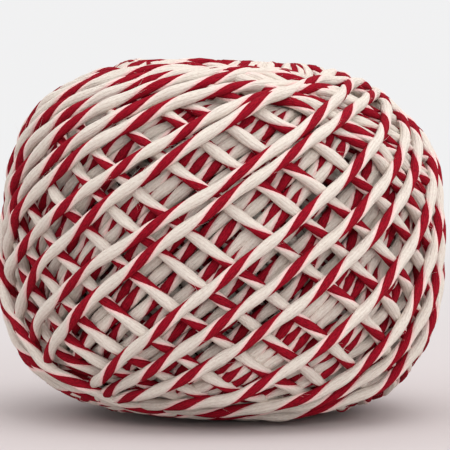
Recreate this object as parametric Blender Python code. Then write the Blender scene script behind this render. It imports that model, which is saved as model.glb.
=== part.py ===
"""A ball of two-ply twine, wound round a leaning axis into a barrel with rounded shoulders.

One closed solid: the wound form, with the outermost turns standing proud of it as slanting
ridges that climb from the lower end to the upper end. Metres, +Z up, front towards -Y.
"""
import math

import bmesh
import bpy
from mathutils import Matrix, Vector

# Wound form, measured over the outermost turns
FORM_RADIUS = 0.0307        # from the winding axis out to the widest turn
FORM_HALF_HEIGHT = 0.0255   # from the middle to either end, along the winding axis
FORM_SQUARENESS = 3.1       # exponent of the outline: 2 is an ellipse, more is nearer a barrel
LEAN = math.radians(2.0)    # the winding axis leans towards +X by this much
REST_CUT = 0.0009           # depth pressed flat where the ball rests

# Twine and its outermost turns
TWINE_DIAMETER = 0.00165
TURN_RELIEF = 0.0012        # how far a turn stands above the layer below it
TURN_CLIMB = math.radians(40.0)     # angle between a turn and the level, on the side
FIRST_TURN = -13            # degrees about the winding axis, from the +X side
# Steps from each outer turn to the next, in degrees about the winding axis, over half a round
TURN_STEPS = (9, 4, 11, 12, 4, 9, 12, 17, 9, 24, 13, 12, 18, 16, 10)
HALF_ROUNDS = 2

# The ends, where the turns come together and lie over one another
MERGE_OUTER = 0.019         # distance from the axis where the ridges start to fade
MERGE_INNER = 0.013         # distance from the axis where they have gone
DIMPLE_RADIUS = 0.012       # hollow that the winding leaves round the axis at the upper end
DIMPLE_DEPTH = 0.003

# Mesh resolution
TURN_PROFILE = (            # across one ridge: place in twine diameters, height of the relief
    (-0.66, 0.0),
    (-0.28, 1.0),
    (0.28, 1.0),
    (0.66, 0.0),
)
RINGS = 38                  # bands from pole to pole
MERIDIAN_SAMPLES = 720      # steps for adding up how far a turn drifts round the axis

COLOUR = (0.62, 0.42, 0.37, 1.0)    # cream and red plies, seen together
ROUGHNESS = 0.9


def clear_scene():
    for scene_object in list(bpy.data.objects):
        bpy.data.objects.remove(scene_object, do_unlink=True)


def outline_point(angle):
    """Distance from the axis and height, for a direction measured up from the middle plane."""
    across, up = math.cos(angle), math.sin(angle)
    power = FORM_SQUARENESS
    reach = (abs(across) / FORM_RADIUS) ** power + (abs(up) / FORM_HALF_HEIGHT) ** power
    reach = reach ** (-1.0 / power)
    return reach * across, reach * up


def outline_normal(radius, height):
    """Outward direction of the outline, as its parts across and up."""
    power = FORM_SQUARENESS
    across = abs(radius) ** (power - 1) / FORM_RADIUS ** power
    up = math.copysign(abs(height) ** (power - 1) / FORM_HALF_HEIGHT ** power, height)
    length = math.hypot(across, up)
    return across / length, up / length


def drift_table():
    """How far a turn has gone round the axis at each even step up the outline from the middle."""
    drift = [0.0]
    before = outline_point(0.0)
    for sample in range(1, MERIDIAN_SAMPLES + 1):
        here = outline_point(0.5 * math.pi * sample / MERIDIAN_SAMPLES)
        climbed = math.dist(before, here)
        radius = max(here[0], MERGE_INNER)
        drift.append(drift[-1] + climbed / (radius * math.tan(TURN_CLIMB)))
        before = here
    return drift


def turn_drift(drift, angle):
    sample = round(abs(angle) / (0.5 * math.pi) * MERIDIAN_SAMPLES)
    return math.copysign(drift[sample], angle)


def turn_azimuths():
    """Directions in which the outer turns cross the middle plane, all the way round."""
    azimuths = []
    azimuth = FIRST_TURN
    for _ in range(HALF_ROUNDS):
        for step in TURN_STEPS:
            azimuths.append(math.radians(azimuth))
            azimuth += step
    return azimuths


def smooth_step(low, high, value):
    share = min(max((value - low) / (high - low), 0.0), 1.0)
    return share * share * (3.0 - 2.0 * share)


def wound_point(azimuths, drift, column, angle):
    """Place of one mesh point: its column follows a turn, its angle sets how far up it is."""
    turn, place = divmod(column, len(TURN_PROFILE))
    offset, lift = TURN_PROFILE[place]
    radius, height = outline_point(angle)
    across, up = outline_normal(radius, height)

    ridge_share = smooth_step(MERGE_INNER, MERGE_OUTER, radius)
    sink = TURN_RELIEF * (1.0 - lift) * ridge_share
    if height > 0.0 and radius < DIMPLE_RADIUS:
        sink += DIMPLE_DEPTH * (1.0 - (radius / DIMPLE_RADIUS) ** 2) ** 2

    level_width = TWINE_DIAMETER / math.sin(TURN_CLIMB)
    azimuth = azimuths[turn] + turn_drift(drift, angle)
    azimuth += offset * level_width / max(radius, MERGE_OUTER)
    radius -= sink * across
    height -= sink * up
    return Vector((radius * math.cos(azimuth), radius * math.sin(azimuth), height))


def build_form(mesh_data):
    """Move the points of a globe onto the wound form, so its meridians follow the turns."""
    azimuths = turn_azimuths()
    drift = drift_table()
    columns = len(azimuths) * len(TURN_PROFILE)
    bmesh.ops.create_uvsphere(mesh_data, u_segments=columns, v_segments=RINGS, radius=1.0)
    for vert in mesh_data.verts:
        angle = math.asin(min(max(vert.co.z, -1.0), 1.0))
        around = math.atan2(vert.co.y, vert.co.x) % math.tau
        column = round(around / math.tau * columns) % columns
        vert.co = wound_point(azimuths, drift, column, angle)


def rest_on_floor(mesh_data):
    """Lean the form, press its lower end flat and set that flat spot at height zero."""
    lean = Matrix.Rotation(LEAN, 4, 'Y')
    bmesh.ops.transform(mesh_data, matrix=lean, verts=mesh_data.verts)
    floor = min(vert.co.z for vert in mesh_data.verts) + REST_CUT
    geometry = mesh_data.verts[:] + mesh_data.edges[:] + mesh_data.faces[:]
    cut = bmesh.ops.bisect_plane(
        mesh_data, geom=geometry, dist=1e-7,
        plane_co=(0.0, 0.0, floor), plane_no=(0.0, 0.0, -1.0), clear_outer=True)
    rim = [item for item in cut["geom_cut"] if isinstance(item, bmesh.types.BMEdge)]
    bmesh.ops.contextual_create(mesh_data, geom=rim)
    bmesh.ops.translate(mesh_data, vec=(0.0, 0.0, -floor), verts=mesh_data.verts)
    centre_over_origin(mesh_data)


def centre_over_origin(mesh_data):
    for axis in (0, 1):
        places = [vert.co[axis] for vert in mesh_data.verts]
        middle = 0.5 * (min(places) + max(places))
        for vert in mesh_data.verts:
            vert.co[axis] -= middle


def twine_material():
    material = bpy.data.materials.new("twine_cotton")
    material.use_nodes = True
    shader = material.node_tree.nodes["Principled BSDF"]
    shader.inputs["Base Color"].default_value = COLOUR
    shader.inputs["Roughness"].default_value = ROUGHNESS
    shader.inputs["Metallic"].default_value = 0.0
    return material


def build_ball():
    mesh_data = bmesh.new()
    build_form(mesh_data)
    rest_on_floor(mesh_data)
    bmesh.ops.recalc_face_normals(mesh_data, faces=mesh_data.faces)
    mesh = bpy.data.meshes.new("twine_ball")
    mesh_data.to_mesh(mesh)
    mesh_data.free()
    mesh.materials.append(twine_material())
    mesh.shade_smooth()
    ball = bpy.data.objects.new("twine_ball", mesh)
    bpy.context.scene.collection.objects.link(ball)
    return ball


clear_scene()
build_ball()
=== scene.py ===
import math

import bmesh
import bpy
import numpy as np
from mathutils import Matrix, Vector


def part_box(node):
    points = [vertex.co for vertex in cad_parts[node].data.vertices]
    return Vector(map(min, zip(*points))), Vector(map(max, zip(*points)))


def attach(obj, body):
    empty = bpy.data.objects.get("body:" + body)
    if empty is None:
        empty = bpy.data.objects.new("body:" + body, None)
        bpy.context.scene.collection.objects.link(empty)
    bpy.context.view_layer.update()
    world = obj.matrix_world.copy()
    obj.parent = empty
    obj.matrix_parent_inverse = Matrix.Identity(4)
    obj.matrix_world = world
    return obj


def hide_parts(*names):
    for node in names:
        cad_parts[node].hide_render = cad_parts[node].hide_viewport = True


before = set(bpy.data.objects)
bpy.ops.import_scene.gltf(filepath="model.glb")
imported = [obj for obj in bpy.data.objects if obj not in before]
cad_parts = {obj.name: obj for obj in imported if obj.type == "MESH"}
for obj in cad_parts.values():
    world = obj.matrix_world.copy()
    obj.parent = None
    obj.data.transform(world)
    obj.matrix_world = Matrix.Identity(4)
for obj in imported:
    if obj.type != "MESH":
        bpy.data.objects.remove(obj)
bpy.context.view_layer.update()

ballLow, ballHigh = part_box("twine_ball")
bpy.context.scene.view_settings.view_transform = "Standard"

# the wound form, measured over the outermost turns
restCut = 0.0009                                # pressed flat where it rests
flatter, lower = 0.0003, 0.0008                 # than the solid, at half height and at the top
form = {
    "radius": (ballHigh.y - ballLow.y) / 2,     # winding axis to the widest turn
    "halfHeight": (ballHigh.z - ballLow.z + restCut) / 2 - flatter,
    "squareAbove": 2.6,                         # 2 is an ellipse, more is nearer a barrel
    "squareBelow": 3.1,
    "lean": math.radians(2.0),                  # the winding axis leans towards +X
}
form["centre"] = Vector((0, 0, ballHigh.z - form["halfHeight"] - lower))

twine = {
    "radius": 0.00082,
    "twist": 0.0113,        # length of twine for one twist of its plies
    "keep": 0.80,           # share of its thickness kept where turns press on each other
    "step": 0.00035,        # spacing of the points worked out along it
    "cell": 0.00021,        # size of one cell of the surface it is laid on
}
laying = {
    "felt": 0.9,            # share of its radius that comes to rest on what is under it
    "spots": 9,             # spots compared with the surface, both across and along
    "sharpest": 90,         # strongest bend of the form that still pulls it down, per metre
    "stretch": 0.015,       # length laid at a time
    "ahead": 0.025,         # length beyond it that is pulled taut with it
}
# how high a turn may lie: in thicknesses of the twine above the form, more for every half
# round under it, and in radii below the level of the last turns, less for every half round
limits = {"first": 1.0, "more": 0.95, "below": 1.6, "lessBelow": 0.25}
swell = {"wide": 20, "tall": 15}            # cells in one patch of the surface's broad swell
hollow = {"wide": 0.013, "deep": 0.003}     # round the upper end of the winding axis
levelling = {
    "windings": 3,          # times it is wound, each time on a form that makes it more level
    "share": 0.8,           # share of the surface below the level
    "waist": 60,            # cells up and down from the middle that set the level
    "axisHole": 0.0035,     # the turns leave this much of each end bare, along the outline
}
tail = {"length": 0.012, "deep": 0.0026}    # the last end, tucked under
paintedShadeDepths = {"from": 0.0024, "to": 0.0060, "least": 0.6}     # painted shade: deeper turns are darkened in their colour, as little light reaches them

# turns given one by one, oldest first: degrees round from the front where each one crosses the
# middle, how steeply it climbs there, how far up and down it reaches as degrees from the
# middle, the length of one twist in mm, and how far past the crossing its red ply first
# comes out on top, in mm
rowNames = ("round", "climb", "up", "down", "twist", "red")
secondTurns = [
    (-278, 35, 51, 50, 11.3, 2.0),
    (-266, 36, 50, 52, 11.8, 6.0),
    (-254, 35, 52, 51, 11.0, 9.0),
    (-241, 34, 50, 50, 11.5, 4.0),
    (-223, 34, 49, 51, 12.0, 1.0),
    (-204, 35, 51, 50, 11.2, 7.0),
    (-193, 34, 50, 52, 11.6, 3.0),
    (-175, 35, 50, 50, 12.2, 8.0),
    (-155, 35, 52, 51, 11.1, 5.0),
    (-144, 36, 51, 52, 11.7, 0.0),
    (-126, 37, 53, 51, 11.3, 6.0),
]
outerTurns = [
    (-113, 44, 54, 50, 11.3, 0.0),
    (-106, 40, 53, 52, 12.4, 4.0),
    (-98, 38, 53, 51, 11.6, 7.0),
    (-89, 35, 53, 50, 12.9, 2.0),
    (-80, 33, 52, 50, 12.0, 9.0),
    (-72, 33, 47.5, 51, 12.8, 6.1),
    (-55, 32, 46, 50, 10.0, 8.6),
    (-41, 37, 51, 52, 12.9, 5.6),
    (-23, 32, 50, 54, 13.5, 4.1),
    (-14, 37, 45, 53, 11.6, 8.8),
    (10, 39, 47, 53, 10.8, 5.7),
    (24, 38, 48, 49, 11.2, 6.3),
    (36, 39, 50, 47, 11.1, 3.8),
    (54, 41, 51, 49, 11.2, 3.5),
    (69, 49, 52, 51, 11.2, 1.6),
    (83, 46, 53, 53, 11.4, 2.0),
    (95, 45, 54, 55, 11.2, 6.0),
]

# the turns under them, deepest first: each round goes half way round the ball, and its
# steps, climbs and reaches are in degrees
underRounds = [
    {"name": "sixth", "step": 12.0, "climb": 62, "reach": 88, "spread": 2},
    {"name": "fifth", "step": 8.0, "climb": 52, "reach": 71, "spread": 5},
    {"name": "fourth", "step": 5.5, "climb": 44, "reach": 61, "spread": 5},
    {"name": "third", "step": 5.0, "climb": 42, "reach": 54, "spread": 4},
]


def outlineAt(angle):
    across, up = np.cos(angle), np.sin(angle)
    power = np.where(up > 0, form["squareAbove"], form["squareBelow"])
    reach = (np.abs(across) / form["radius"]) ** power
    reach = (reach + (np.abs(up) / form["halfHeight"]) ** power) ** (-1 / power)
    return reach * across, reach * up


def outlineNormal(radius, height):
    power = np.where(height > 0, form["squareAbove"], form["squareBelow"])
    across = np.abs(radius) ** (power - 1) / form["radius"] ** power
    up = np.sign(height) * np.abs(height) ** (power - 1) / form["halfHeight"] ** power
    length = np.hypot(across, up)
    return across / length, up / length


# distance up the outline, from the lower end to the upper end, against the angle
outlineAngles = np.linspace(-math.pi / 2, math.pi / 2, 3601)
outlineRadii, outlineHeights = outlineAt(outlineAngles)
outlineLengths = np.concatenate(
    [[0], np.cumsum(np.hypot(np.diff(outlineRadii), np.diff(outlineHeights)))])
quarterTurn = math.radians(93)     # round the ball from the middle to the highest point


def smoothed(values, kernel, **ends):
    # each value averaged with its neighbours, once both ends have been carried on
    padded = np.pad(values, len(kernel) // 2, **ends)
    return np.convolve(padded, kernel / kernel.sum(), mode="valid")


def quarterRise(climb, reach, share):
    # how far up a turn is at each share of the way from the middle to its highest point
    slope = math.tan(climb) * quarterTurn / (math.pi / 2)
    corner = (slope - reach) / 4
    way = share * math.pi / 2
    return (reach + corner) * np.sin(way) + corner * np.sin(3 * way)


def planTurns():
    # crossing, climb, reach up and reach down of every turn, from the innermost to the last
    rng = np.random.default_rng(7)
    turns = []
    for k, each in enumerate(underRounds):
        travelled = 0              # degrees round the ball
        while True:
            travelled += each["step"] * (0.6 + 0.8 * rng.random())
            if travelled > 180:
                break
            sway = each["spread"] * (rng.random(3) - 0.5)
            turns.append((each["name"], travelled + 180 * k, each["climb"] + sway[0],
                          each["reach"] + sway[1], each["reach"] + sway[2]))
    start = 180 * len(underRounds) + 12
    for name, rows in (("second", secondTurns), ("outer", outerTurns)):
        for row in rows:
            each = dict(zip(rowNames, row))
            turns.append((name, start + each["round"] - secondTurns[0][0],
                          each["climb"], each["up"], each["down"]))
    names = [turn[0] for turn in turns]
    crossings, climbs, ups, downs = np.array([turn[1:] for turn in turns]).T
    crossings += each["round"] + 270 - crossings[-1]        # the front is at 270 degrees
    return names, *np.radians([crossings, climbs, ups, downs])


def layPath(crossings, climbs, ups, downs):
    # one long path over the whole ball: how far round, how far up, and the turn's own count
    around, rise, count = [], [], []
    share = np.linspace(0, 1, 91)
    for k, climb in enumerate(climbs):
        up, down = quarterRise(climb, ups[k], share), quarterRise(climb, downs[k], share)
        here = crossings[k] + math.tau * k
        around += [here - quarterTurn * share[:0:-1], here + quarterTurn * share[:-1]]
        rise += [-down[:0:-1], up[:-1]]
        count += [k - share[:0:-1] / 4, k + share[:-1] / 4]
        if k + 1 == len(climbs):
            break
        nextDown = quarterRise(climbs[k + 1], downs[k + 1], share)
        top = here + quarterTurn
        bottom = crossings[k + 1] + math.tau * (k + 1) - quarterTurn
        half = (top + bottom) / 2
        around += [top + (half - top) * share[:-1], half + (bottom - half) * share[:-1]]
        rise += [up[:0:-1], -nextDown[:-1]]
        count += [k + 0.25 + share[:-1] / 4, k + 0.5 + share[:-1] / 4]
    around, rise, count = (np.concatenate(part) for part in (around, rise, count))
    around = smoothed(around, np.hanning(27), mode="reflect", reflect_type="odd")
    rise = smoothed(rise, np.hanning(27), mode="edge")
    radius, height = outlineAt(rise)
    points = np.stack([radius * np.cos(around), radius * np.sin(around), height], 1)
    lengths = np.concatenate([[0], np.cumsum(np.linalg.norm(np.diff(points, axis=0), axis=1))])
    even = np.arange(0, lengths[-1], twine["step"])
    return tuple(np.interp(even, lengths, part) for part in (around, rise, count))


def pulledTaut(support):
    # the lowest line that touches the support from above and never bends inward
    touching = [0]
    for i in range(1, len(support)):
        while len(touching) > 1:
            a, b = touching[-2], touching[-1]
            if (support[b] - support[a]) * (i - a) > (support[i] - support[a]) * (b - a):
                break
            touching.pop()
        touching.append(i)
    return np.interp(np.arange(len(support)), touching, support[touching])


def windOn(around, rise, most, base):
    # lays the path on the surface bit by bit, each bit pulled taut over what is under it
    radius, height = outlineAt(rise)
    outAcross, outUp = outlineNormal(radius, height)
    up = np.interp(rise, outlineAngles, outlineLengths)
    points = np.stack([radius * np.cos(around), radius * np.sin(around), height], 1)
    normals = np.stack([outAcross * np.cos(around), outAcross * np.sin(around), outUp], 1)
    step = twine["step"]
    turning = np.gradient(np.gradient(points, step, axis=0), step, axis=0)
    bend = np.clip(-(turning * normals).sum(1), 0, laying["sharpest"])

    columns = int(math.tau * form["radius"] / twine["cell"] / swell["wide"]) * swell["wide"]
    rows = len(base)
    bed = np.tile(base, (columns, 1))
    reach = twine["radius"] * laying["felt"]
    spots = np.linspace(-reach, reach, laying["spots"])
    aside, along = (grid.ravel() for grid in np.meshgrid(spots, spots))
    near = np.hypot(aside, along) < reach
    aside, along = aside[near], along[near]
    lift = twine["keep"] * np.sqrt(twine["radius"] ** 2 - aside ** 2 - along ** 2)

    heights = np.zeros(len(around))
    stretch, ahead = int(laying["stretch"] / step), int(laying["ahead"] / step)
    for start in range(0, len(around), stretch):
        part = slice(start, min(start + stretch + ahead, len(around)))
        column = (around[part, None] + aside / radius[part, None]) / math.tau * columns
        column = np.floor(column).astype(int) % columns
        row = np.clip(((up[part, None] + along) / twine["cell"]).astype(int), 0, rows - 1)
        support = np.minimum((bed[column, row] + lift).max(1), most[part])
        if start:
            support[0] = heights[start - 1]
        drop = np.cumsum(np.cumsum(bend[part])) * step ** 2
        laid = pulledTaut(support - drop) + drop
        kept = min(stretch, len(laid))
        heights[start:start + kept] = laid[:kept]
        np.maximum.at(bed, (column[:kept].ravel(), row[:kept].ravel()),
                      (laid[:kept, None] + lift).ravel())
    return points, normals, heights, bed


def swellAt(bed, around, up):
    # how far the surface swells above its mean at that height, where turns crowd together
    wide, tall = swell["wide"], swell["tall"]
    patches = bed[:, :bed.shape[1] // tall * tall].reshape(len(bed) // wide, wide, -1, tall)
    patches = np.percentile(patches, 75, axis=(1, 3))
    patches -= patches.mean(axis=0)
    soft = np.hanning(7) / np.hanning(7).sum()
    patches = sum(share * np.roll(patches, k - 3, axis=0) for k, share in enumerate(soft))
    column = around / math.tau % 1 * len(patches) - 0.5
    row = np.clip(up / (twine["cell"] * tall) - 0.5, 0, patches.shape[1] - 1.001)
    near, low = np.floor(column).astype(int), row.astype(int)
    far, along, above = (near + 1) % len(patches), column - near, row - low
    here = patches[near, low] * (1 - above) + patches[near, low + 1] * above
    there = patches[far, low] * (1 - above) + patches[far, low + 1] * above
    return here * (1 - along) + there * along


print("winding the ball")
names, crossings, climbs, ups, downs = planTurns()
around, rise, count = layPath(crossings, climbs, ups, downs)
rows = int(outlineLengths[-1] / twine["cell"]) + 1
rowLengths = (np.arange(rows) + 0.5) * twine["cell"]
progress = np.interp(count, np.arange(len(crossings)), (crossings - crossings[0]) / math.pi)
up = np.interp(rise, outlineAngles, outlineLengths)
toUpperEnd = np.clip(1 - (outlineLengths[-1] - up) / hollow["wide"], 0, 1)
sunk = hollow["deep"] * toUpperEnd ** 2 * (3 - 2 * toUpperEnd)
base = np.zeros(rows)
middle = 0.01                      # higher than any turn comes the first time
for winding in range(levelling["windings"]):
    # where turns crowd together they press in, and lie only a little above the ones before
    under = np.interp(up, rowLengths, base)
    most = np.minimum(
        under + twine["radius"] * 2 * (limits["more"] * progress + limits["first"]),
        middle - sunk - twine["radius"] * (limits["below"] - limits["lessBelow"] * progress))
    points, normals, heights, bed = windOn(around, rise, most, base)
    level = np.sort(bed, axis=0)[int(len(bed) * levelling["share"])]
    level = smoothed(level, np.ones(21), mode="edge")
    middle = level[rows // 2 - levelling["waist"]:rows // 2 + levelling["waist"]].mean()
    if winding < levelling["windings"] - 1:
        base = base - (level - middle)
        bare = levelling["axisHole"]
        reached = (rowLengths > bare) & (rowLengths < outlineLengths[-1] - bare)
        base[~reached] = np.interp(rowLengths[~reached], rowLengths[reached], base[reached])
heights -= swellAt(bed, around, up)
outer = count > names.index("outer") - 0.25
depth = np.percentile(heights[outer], 75) + twine["radius"] * twine["keep"]
heights = smoothed(heights, np.exp(-np.linspace(-2.5, 2.5, 21) ** 2 / 2), mode="edge")
last = int(tail["length"] / twine["step"])
heights[-last:] -= tail["deep"] * np.linspace(0, 1, last) ** 2
points = points + normals * (heights - depth)[:, None]
# painted shade: each point's colour is darkened the deeper it lies below the outer turns
paintedShade = np.interp(depth - heights - sunk, [paintedShadeDepths["from"], paintedShadeDepths["to"]], [1.0, paintedShadeDepths["least"]])


def leaned(vectors):
    across, up = math.cos(form["lean"]), math.sin(form["lean"])
    x, y, z = vectors.T
    return np.stack([x * across + z * up, y, z * across - x * up], 1)


def atRest(z):
    # the lowest part gives a little under the ball's weight: it starts to give at one height
    # and is pressed this far at its lowest
    soft, cut = 0.0050, restCut + 0.0002
    share = np.clip((soft - z) / (soft + cut), 0, 1)
    pressed = soft - (soft + cut) * (share - (1 - soft / (soft + cut)) * share ** 2)
    return np.where(z < soft, pressed, z)


points = leaned(points) + np.array(form["centre"])
points[:, 2] = atRest(points[:, 2])
normals = leaned(normals)
alongTwine = np.arange(len(points)) * twine["step"]


def turnTwist():
    # how far the twine has twisted at each point, in radians: the red ply faces out at
    # every whole turn
    rng = np.random.default_rng(11)
    at = np.interp(np.arange(len(names)), count, alongTwine)
    first = names.index("second")
    stretch, held = 0.06, 0.040        # length between changes, and to each side of a crossing
    places, twists = [0.0], [0.0]
    while places[-1] < at[first] - 2 * stretch:
        places.append(places[-1] + stretch)
        loose = twine["twist"] * (0.88 + 0.3 * rng.random())
        twists.append(twists[-1] + math.tau * stretch / loose)
    for k, row in enumerate(secondTurns + outerTurns):
        each = dict(zip(rowNames, row))
        here = at[first + k]
        rate = math.tau / (each["twist"] / 1000)
        before, after = here - held, here + held
        start = (before - here - each["red"] / 1000) * rate
        free = (before - places[-1]) / twine["twist"]
        whole = round(twists[-1] / math.tau + free - start / math.tau)
        start += whole * math.tau
        places += [before, after]
        twists += [start, start + rate * 2 * held]
    places.append(alongTwine[-1])
    twists.append(twists[-1] + math.tau * (places[-1] - places[-2]) / twine["twist"])
    return np.interp(alongTwine, places, twists)


def wavering(length, seed, smooth):
    # slow random change along the twine, about -1 to 1
    rng = np.random.default_rng(seed)
    knots = rng.normal(0, 0.5, int(length * twine["step"] / smooth) + 4)
    return np.interp(np.arange(length) * twine["step"] / smooth, np.arange(len(knots)), knots)


twist = turnTwist()
tangents = np.gradient(points, axis=0)
tangents /= np.linalg.norm(tangents, axis=1)[:, None]
rising = np.array([0, 0, 1.0]) - tangents * tangents[:, 2:3]
rising /= np.linalg.norm(rising, axis=1)[:, None]
sideways = np.cross(tangents, normals)
outward = np.arctan2((rising * sideways).sum(1), (rising * normals).sum(1))
tilts = np.unwrap(-twist - outward)
thickness = 1 + 0.05 * wavering(len(points), 5, 0.006)
thickness += 0.03 * wavering(len(points), 6, 0.0017)
thickness[count < names.index("second") - 0.5] *= 1.12      # deeper turns are slacker

# half the width and height of each ply, how far out it lies, and the depth of its groove
plies = {
    "cream": {"slot": "cream_cotton", "wide": 0.00080, "deep": 0.00067, "out": 0.0,
              "groove": 0.00044},
    "red": {"slot": "red_cotton", "wide": 0.00058, "deep": 0.00037, "out": 0.00042,
            "groove": 0.0},
}
grooveWide = math.radians(44)      # how far round the ply its groove spreads
pinkTintFrom = 0.00005                # the groove is fully tinted pink where it is deeper than this
fibreTurn = 0.012                  # length of ply in which its fibres turn once round

# how finely each round of turns is made: every so many points, and sides of each ply
fineness = {
    "sixth": {"every": 4, "cream": 6, "red": 5},
    "fifth": {"every": 4, "cream": 6, "red": 5},
    "fourth": {"every": 4, "cream": 8, "red": 6},
    "third": {"every": 3, "cream": 9, "red": 6},
    "second": {"every": 2, "cream": 12, "red": 8},
    "outer": {"every": 2, "cream": 16, "red": 10},
}


def fillEnds(shape):
    bmesh.ops.holes_fill(shape, edges=[each for each in shape.edges if each.is_boundary])


def sweptPly(name, colour, chosen, sides):
    # one ply, swept along the chosen points of the twine
    ply = plies[colour]
    section = bpy.data.curves.new(name + "Section", "CURVE")
    section.dimensions = "2D"
    ring = section.splines.new("POLY")
    ring.points.add(sides - 1)
    angles = np.arange(sides) * math.tau / sides
    fromTop = (angles - math.pi / 2 + math.pi) % math.tau - math.pi
    groove = ply["groove"] * np.exp(-(fromTop / grooveWide) ** 2)
    x = (ply["wide"] - groove) * np.cos(angles)
    y = ply["out"] + (ply["deep"] - groove) * np.sin(angles)
    for point, across, out in zip(ring.points, x, y):
        point.co = (across, out, 0, 1)
    ring.use_cyclic_u = True
    sectionPiece = bpy.data.objects.new(name + "Section", section)
    bpy.context.scene.collection.objects.link(sectionPiece)

    line = bpy.data.curves.new(name + "Line", "CURVE")
    line.dimensions = "3D"
    line.twist_mode = "Z_UP"
    line.bevel_mode = "OBJECT"
    line.bevel_object = sectionPiece
    way = line.splines.new("POLY")
    way.points.add(len(chosen) - 1)
    way.points.foreach_set("co", np.c_[points[chosen], np.ones(len(chosen))].ravel())
    way.points.foreach_set("tilt", tilts[chosen])
    way.points.foreach_set("radius", thickness[chosen])
    linePiece = bpy.data.objects.new(name + "Line", line)
    bpy.context.scene.collection.objects.link(linePiece)
    graph = bpy.context.evaluated_depsgraph_get()
    mesh = bpy.data.meshes.new_from_object(linePiece.evaluated_get(graph))
    for piece in (linePiece, sectionPiece):
        curve = piece.data
        bpy.data.objects.remove(piece)
        bpy.data.curves.remove(curve)

    # where each point of the surface lies within its ply, so the fibres can follow it
    spin = alongTwine[chosen] * math.tau / fibreTurn
    localX, localY = x, y - ply["out"]
    lay = np.zeros((len(chosen), sides, 3))
    lay[:, :, 0] = np.outer(np.cos(spin), localX) - np.outer(np.sin(spin), localY)
    lay[:, :, 1] = np.outer(np.sin(spin), localX) + np.outer(np.cos(spin), localY)
    lay[:, :, 2] = alongTwine[chosen][:, None]
    mesh.attributes.new("lay", "FLOAT_VECTOR", "POINT").data.foreach_set("vector", lay.ravel())
    if ply["groove"]:
        edge = np.tile(np.clip(groove / pinkTintFrom, 0, 1), (len(chosen), 1))
        mesh.attributes.new("edge", "FLOAT", "POINT").data.foreach_set("value", edge.ravel())
    # painted shade for the colour, darker for deeper turns
    mesh.attributes.new("paintedShade", "FLOAT", "POINT").data.foreach_set(
        "value", np.repeat(paintedShade[chosen], sides))

    shape = bmesh.new()
    shape.from_mesh(mesh)
    fillEnds(shape)
    for vertex in shape.verts:
        vertex.co.z = max(vertex.co.z, 0)        # it lies flat where it touches
    bmesh.ops.recalc_face_normals(shape, faces=shape.faces)
    if shape.calc_volume(signed=True) < 0:
        bmesh.ops.reverse_faces(shape, faces=shape.faces)
    for face in shape.faces:
        face.smooth = True
    shape.to_mesh(mesh)
    shape.free()
    return mesh


def fibreGroup():
    group = bpy.data.node_groups.new("cotton fibre", "ShaderNodeTree")
    fields = group.interface
    fields.new_socket("Lay", in_out="INPUT", socket_type="NodeSocketVector")
    fields.new_socket("Bump", in_out="INPUT", socket_type="NodeSocketFloat").default_value = 0.5
    fields.new_socket("Fibre", in_out="OUTPUT", socket_type="NodeSocketFloat")
    fields.new_socket("Yarn", in_out="OUTPUT", socket_type="NodeSocketFloat")
    fields.new_socket("Normal", in_out="OUTPUT", socket_type="NodeSocketVector")
    nodes, links = group.nodes, group.links
    start = nodes.new("NodeGroupInput")
    end = nodes.new("NodeGroupOutput")

    # fine fibres, drawn out along the ply
    stretched = nodes.new("ShaderNodeMapping")
    stretched.inputs["Scale"].default_value = (7500, 7500, 2000)
    fibre = nodes.new("ShaderNodeTexNoise")
    fibre.inputs["Scale"].default_value = 1.0
    fibre.inputs["Detail"].default_value = 3.0
    fibre.inputs["Roughness"].default_value = 0.6

    # single yarns round the ply, wandering a little
    loose = nodes.new("ShaderNodeMapping")
    loose.inputs["Scale"].default_value = (900, 900, 260)
    patch = nodes.new("ShaderNodeTexNoise")
    patch.inputs["Scale"].default_value = 1.0
    patch.inputs["Detail"].default_value = 2.0
    across = nodes.new("ShaderNodeSeparateXYZ")
    turned = nodes.new("ShaderNodeMath")
    turned.operation = "ARCTAN2"
    wander = nodes.new("ShaderNodeMath")
    wander.operation = "MULTIPLY_ADD"
    wander.inputs[1].default_value = 9.0
    spread = nodes.new("ShaderNodeMath")
    spread.operation = "MULTIPLY"
    spread.inputs[1].default_value = 5.0
    wave = nodes.new("ShaderNodeMath")
    wave.operation = "SINE"
    yarn = nodes.new("ShaderNodeMapRange")
    yarn.inputs["From Min"].default_value = -1.0
    yarn.inputs["From Max"].default_value = -0.3

    bump = nodes.new("ShaderNodeBump")
    bump.inputs["Distance"].default_value = 0.00025
    height = nodes.new("ShaderNodeMath")
    height.operation = "MULTIPLY_ADD"
    height.inputs[1].default_value = 0.3

    links.new(start.outputs["Lay"], across.inputs[0])
    links.new(across.outputs["Y"], turned.inputs[0])
    links.new(across.outputs["X"], turned.inputs[1])
    links.new(turned.outputs[0], wander.inputs[0])
    links.new(patch.outputs["Fac"], spread.inputs[0])
    links.new(spread.outputs[0], wander.inputs[2])
    links.new(wander.outputs[0], wave.inputs[0])
    links.new(wave.outputs[0], yarn.inputs["Value"])
    links.new(yarn.outputs["Result"], height.inputs[0])
    links.new(fibre.outputs["Fac"], height.inputs[2])
    links.new(yarn.outputs["Result"], end.inputs["Yarn"])
    links.new(start.outputs["Lay"], stretched.inputs["Vector"])
    links.new(stretched.outputs["Vector"], fibre.inputs["Vector"])
    links.new(start.outputs["Lay"], loose.inputs["Vector"])
    links.new(loose.outputs["Vector"], patch.inputs["Vector"])
    links.new(start.outputs["Bump"], bump.inputs["Strength"])
    links.new(height.outputs[0], bump.inputs["Height"])
    links.new(fibre.outputs["Fac"], end.inputs["Fibre"])
    links.new(bump.outputs["Normal"], end.inputs["Normal"])
    return group


fibres = fibreGroup()


def plainCotton(name, colour, roughness):
    material = bpy.data.materials.new(name)
    material.use_nodes = True
    surface = material.node_tree.nodes["Principled BSDF"]
    surface.inputs["Base Color"].default_value = colour
    surface.inputs["Roughness"].default_value = roughness
    return material


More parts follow.
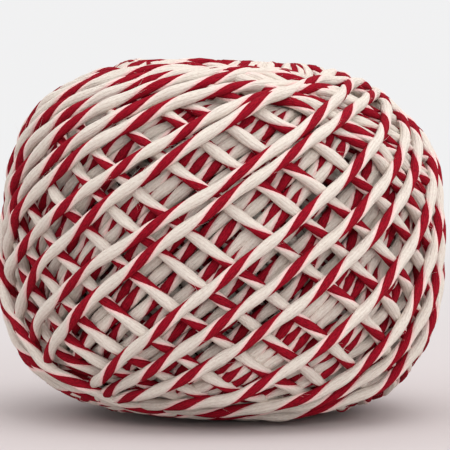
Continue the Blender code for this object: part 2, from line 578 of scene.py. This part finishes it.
def cottonMaterial(name, light, dark, pinkTint=None):
    # light and dark fibres, tinted pink in the groove where another ply lies against it
    material = bpy.data.materials.new(name)
    material.use_nodes = True
    nodes, links = material.node_tree.nodes, material.node_tree.links
    surface = nodes["Principled BSDF"]
    surface.inputs["Roughness"].default_value = 0.9
    surface.inputs["Specular IOR Level"].default_value = 0.08
    lay = nodes.new("ShaderNodeAttribute")
    lay.attribute_name = "lay"
    fibre = nodes.new("ShaderNodeGroup")
    fibre.node_tree = fibres
    fibre.inputs["Bump"].default_value = 0.7
    links.new(lay.outputs["Vector"], fibre.inputs["Lay"])
    both = nodes.new("ShaderNodeMath")
    both.operation = "MULTIPLY_ADD"
    both.inputs[1].default_value = 0.10
    links.new(fibre.outputs["Yarn"], both.inputs[0])
    links.new(fibre.outputs["Fibre"], both.inputs[2])
    tone = nodes.new("ShaderNodeMapRange")
    tone.inputs["From Min"].default_value = 0.38
    tone.inputs["From Max"].default_value = 0.70
    links.new(both.outputs[0], tone.inputs["Value"])
    colour = nodes.new("ShaderNodeMix")
    colour.data_type = "RGBA"
    colour.inputs[6].default_value = dark
    colour.inputs[7].default_value = light
    links.new(tone.outputs["Result"], colour.inputs[0])
    # the groove tinted pink where another ply lies against it
    if pinkTint:
        pinkTintMix = nodes.new("ShaderNodeMix")
        pinkTintMix.data_type = "RGBA"
        pinkTintMix.inputs[7].default_value = pinkTint
        edge = nodes.new("ShaderNodeAttribute")
        edge.attribute_name = "edge"
        links.new(edge.outputs["Fac"], pinkTintMix.inputs[0])
        links.new(colour.outputs[2], pinkTintMix.inputs[6])
        colour = pinkTintMix
    # painted shade: the colour is multiplied by how deep the turn lies
    paintedShadeNode = nodes.new("ShaderNodeAttribute")
    paintedShadeNode.attribute_name = "paintedShade"
    shaded = nodes.new("ShaderNodeMix")
    shaded.data_type = "RGBA"
    shaded.blend_type = "MULTIPLY"
    shaded.inputs[0].default_value = 1.0
    links.new(colour.outputs[2], shaded.inputs[6])
    links.new(paintedShadeNode.outputs["Fac"], shaded.inputs[7])
    links.new(shaded.outputs[2], surface.inputs["Base Color"])
    links.new(fibre.outputs["Normal"], surface.inputs["Normal"])
    return material


creamCotton = cottonMaterial("cream cotton", (0.79, 0.725, 0.645, 1), (0.68, 0.58, 0.51, 1),
                             (0.98, 0.62, 0.60, 1))
redCotton = cottonMaterial("red cotton", (0.36, 0.007, 0.020, 1), (0.17, 0.003, 0.010, 1))

print("making the turns")
starts = [names.index(name) - 0.5 for name in fineness] + [len(names)]
for (name, fine), since, until in zip(fineness.items(), starts, starts[1:]):
    inside = np.flatnonzero((count >= since) & (count < until))
    chosen = inside[::fine["every"]]
    for colour in plies:
        mesh = sweptPly(name + colour.title(), colour, chosen, fine[colour])
        mesh.materials.clear()
        mesh.materials.append(creamCotton if colour == "cream" else redCotton)
        piece = bpy.data.objects.new(name + colour.title(), mesh)
        bpy.context.scene.collection.objects.link(piece)
        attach(piece, "root")
        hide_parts("twine_ball")
        mesh.calc_loop_triangles()
        print("made", piece.name, len(mesh.loop_triangles))

# fine hairs standing off the outer turns
hairSizes = {
    "many": 1500,
    "thick": 0.000011,
    "lowest": 0.003,            # none lower than this, where the ball rests
    "root": 0.00066,            # from the middle of the twine
    "shortest": 0.0007,
    "longest": 0.0022,
    "turned": 1.3,              # furthest round the twine from straight out, in radians
    "rise": 0.45,               # shares of its length: how far it stands off, how much of
    "droop": 0.35,              # that it loses again, and how far it strays
    "stray": 0.22,
    "taper": 0.7,
}
rng = np.random.default_rng(23)
hairs = bpy.data.curves.new("hairs", "CURVE")
hairs.dimensions = "3D"
hairs.bevel_depth = hairSizes["thick"]
hairs.bevel_resolution = 0
inView = (count > names.index("second") - 0.5) & (points[:, 2] > hairSizes["lowest"])
creamOutside = np.cos(twist) < -0.3
roots = np.flatnonzero(inView & creamOutside)
for root in rng.choice(roots, hairSizes["many"], replace=False):
    turned = rng.uniform(-hairSizes["turned"], hairSizes["turned"])
    out = normals[root] * math.cos(turned) + sideways[root] * math.sin(turned)
    length = rng.uniform(hairSizes["shortest"], hairSizes["longest"])
    drift = rng.normal(0, 1, 3)
    hair = hairs.splines.new("POLY")
    hair.points.add(4)
    for k, point in enumerate(hair.points):
        gone = k / 4
        off = length * hairSizes["rise"] * gone * (1 - hairSizes["droop"] * gone)
        at = (points[root] + out * (hairSizes["root"] + off) + tangents[root] * length * gone
              + drift * length * hairSizes["stray"] * gone ** 2)
        point.co = (*at, 1)
        point.radius = 1 - hairSizes["taper"] * gone
hairLine = bpy.data.objects.new("hairLine", hairs)
bpy.context.scene.collection.objects.link(hairLine)
graph = bpy.context.evaluated_depsgraph_get()
hairMesh = bpy.data.meshes.new_from_object(hairLine.evaluated_get(graph))
bpy.data.objects.remove(hairLine)
shape = bmesh.new()
shape.from_mesh(hairMesh)
fillEnds(shape)
bmesh.ops.recalc_face_normals(shape, faces=shape.faces)
shape.to_mesh(hairMesh)
shape.free()
hairMesh.materials.clear()
hairMesh.materials.append(plainCotton("loose fibre", (0.86, 0.78, 0.72, 1), 0.9))
hair = bpy.data.objects.new("looseFibres", hairMesh)
bpy.context.scene.collection.objects.link(hair)
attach(hair, "root")
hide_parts("twine_ball")
hairMesh.calc_loop_triangles()
print("made looseFibres", len(hairMesh.loop_triangles))

# what lies under the turns, seen only in the deepest gaps and coloured almost black as painted
# shade; it sinks deeper round the axis
heartSizes = {"sunk": 0.0056, "deeper": 0.012, "from": 0.95, "over": 0.05}
shape = bmesh.new()
bmesh.ops.create_uvsphere(shape, u_segments=64, v_segments=40, radius=1)
for vertex in shape.verts:
    radius, height = outlineAt(math.asin(max(-1, min(1, vertex.co.z))))
    across, up = outlineNormal(np.array([radius]), np.array([height]))
    beyond = max(0, abs(vertex.co.z) - heartSizes["from"])
    inward = heartSizes["sunk"] + heartSizes["deeper"] * beyond / heartSizes["over"]
    level = math.hypot(vertex.co.x, vertex.co.y)
    turned = Vector((vertex.co.x, vertex.co.y, 0)) / max(level, 1e-6)
    vertex.co = turned * max(radius - across[0] * inward, 0)
    vertex.co.z = height - up[0] * inward
bmesh.ops.rotate(shape, verts=shape.verts, matrix=Matrix.Rotation(form["lean"], 3, "Y"))
bmesh.ops.translate(shape, verts=shape.verts, vec=form["centre"])
bmesh.ops.recalc_face_normals(shape, faces=shape.faces)
heartMesh = bpy.data.meshes.new("heart")
for face in shape.faces:
    face.smooth = True
shape.to_mesh(heartMesh)
shape.free()
heart = bpy.data.objects.new("heart", heartMesh)
bpy.context.scene.collection.objects.link(heart)
# painted shade: a near-black red stands in for the dark of the deepest gaps
heartMesh.materials.append(plainCotton("painted shade under the turns", (0.10, 0.03, 0.03, 1), 1.0))
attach(heart, "root")
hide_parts("twine_ball")

print("setting the floor and the light")
backdrop = (0.88, 0.88, 0.885, 1)
# painted light: the floor glows, more the further it lies from the ball, which lightens the
# ball's shadow on it
# distances from the ball over which the floor turns into the backdrop, and how fast at first
floorFade = {"from": 0.018, "to": 0.70, "curve": 0.72}
floorMesh = bpy.data.meshes.new("floor")
shape = bmesh.new()
bmesh.ops.create_circle(shape, cap_ends=True, segments=96, radius=4.0)
shape.to_mesh(floorMesh)
shape.free()
floor = bpy.data.objects.new("floor", floorMesh)
bpy.context.scene.collection.objects.link(floor)
paper = bpy.data.materials.new("white paper")
paper.use_nodes = True
nodes, links = paper.node_tree.nodes, paper.node_tree.links
surface = nodes["Principled BSDF"]
surface.inputs["Base Color"].default_value = (0.57, 0.51, 0.505, 1)
surface.inputs["Roughness"].default_value = 0.85
surface.inputs["Specular IOR Level"].default_value = 0.2
place = nodes.new("ShaderNodeTexCoord")
distance = nodes.new("ShaderNodeVectorMath")
distance.operation = "LENGTH"
fade = nodes.new("ShaderNodeMapRange")
fade.inputs["From Min"].default_value = floorFade["from"]
fade.inputs["From Max"].default_value = floorFade["to"]
bright = nodes.new("ShaderNodeMath")
bright.operation = "POWER"
bright.inputs[1].default_value = floorFade["curve"]
# painted light: the floor's glow, mixed in by distance from the ball
glow = nodes.new("ShaderNodeEmission")
glow.inputs["Color"].default_value = backdrop
mix = nodes.new("ShaderNodeMixShader")
links.new(place.outputs["Object"], distance.inputs[0])
links.new(distance.outputs["Value"], fade.inputs["Value"])
links.new(fade.outputs["Result"], bright.inputs[0])
links.new(bright.outputs["Value"], mix.inputs[0])
links.new(surface.outputs[0], mix.inputs[1])
links.new(glow.outputs[0], mix.inputs[2])
links.new(mix.outputs[0], nodes["Material Output"].inputs["Surface"])
floorMesh.materials.append(paper)

world = bpy.context.scene.world or bpy.data.worlds.new("studio")
bpy.context.scene.world = world
world.use_nodes = True
sky = world.node_tree.nodes.get("Background") or world.node_tree.nodes.new("ShaderNodeBackground")
sky.inputs["Color"].default_value = backdrop
seen = world.node_tree.nodes.new("ShaderNodeLightPath")
strength = world.node_tree.nodes.new("ShaderNodeMapRange")
strength.inputs["To Min"].default_value = 1.16      # as light on the ball
strength.inputs["To Max"].default_value = 1.0       # as seen behind it
world.node_tree.links.new(seen.outputs["Is Camera Ray"], strength.inputs["Value"])
world.node_tree.links.new(strength.outputs["Result"], sky.inputs["Strength"])

# sizes and places in metres, powers in watts
lamps = [
    {"name": "overhead", "from": (0.12, -0.15, 0.75), "size": 0.55, "power": 1.9},
    {"name": "front", "from": (0.28, -0.75, 0.30), "size": 0.60, "power": 1.8},
]
for each in lamps:
    light = bpy.data.lights.new(each["name"], "AREA")
    light.shape = "DISK"
    light.size = each["size"]
    light.energy = each["power"]
    lamp = bpy.data.objects.new(each["name"], light)
    bpy.context.scene.collection.objects.link(lamp)
    lamp.location = each["from"]
    towards = form["centre"] - Vector(each["from"])
    lamp.rotation_euler = towards.to_track_quat("-Z", "Y").to_euler()

viewing = {
    "lens": 176,
    "sensor": 36,
    "shift": (0.007, 0.0257),
    "above": math.radians(2.3),     # how far it looks down on the ball
    "away": 0.303,
}
view = bpy.data.cameras.new("view")
view.lens = viewing["lens"]
view.sensor_width = viewing["sensor"]
view.shift_x, view.shift_y = viewing["shift"]
camera = bpy.data.objects.new("view", view)
bpy.context.scene.collection.objects.link(camera)
above = viewing["above"]
outwards = Vector((0, -math.cos(above), math.sin(above)))
camera.location = form["centre"] + outwards * viewing["away"]
camera.rotation_euler = (math.radians(90) - above, 0, 0)
bpy.context.scene.camera = camera
